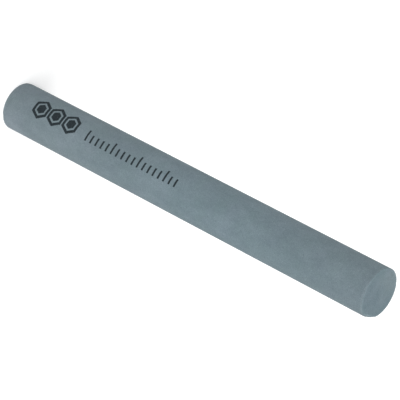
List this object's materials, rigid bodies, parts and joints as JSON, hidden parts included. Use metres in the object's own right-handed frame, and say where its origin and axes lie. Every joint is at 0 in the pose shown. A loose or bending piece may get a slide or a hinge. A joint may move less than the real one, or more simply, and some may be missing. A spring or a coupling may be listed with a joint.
{
  "type": "round abrasive file",
  "caption": "Round abrasive file: a plain cylindrical stick of fine bonded silicon carbide grit, for hand dressing, deburring and polishing bores and moulds.",
  "frame": {"origin": "middle of the lower end face, which the stick stands on", "axes": "+Z along the stick's axis, from the lower end to the upper end; the stick is round, so X and Y are free"},
  "size_m": [0.016, 0.016, 0.15],
  "materials": {
    "bonded_grit": "matte"
  },
  "bodies": {
    "root": {"round_file": "bonded_grit"}
  },
  "joints": []
}
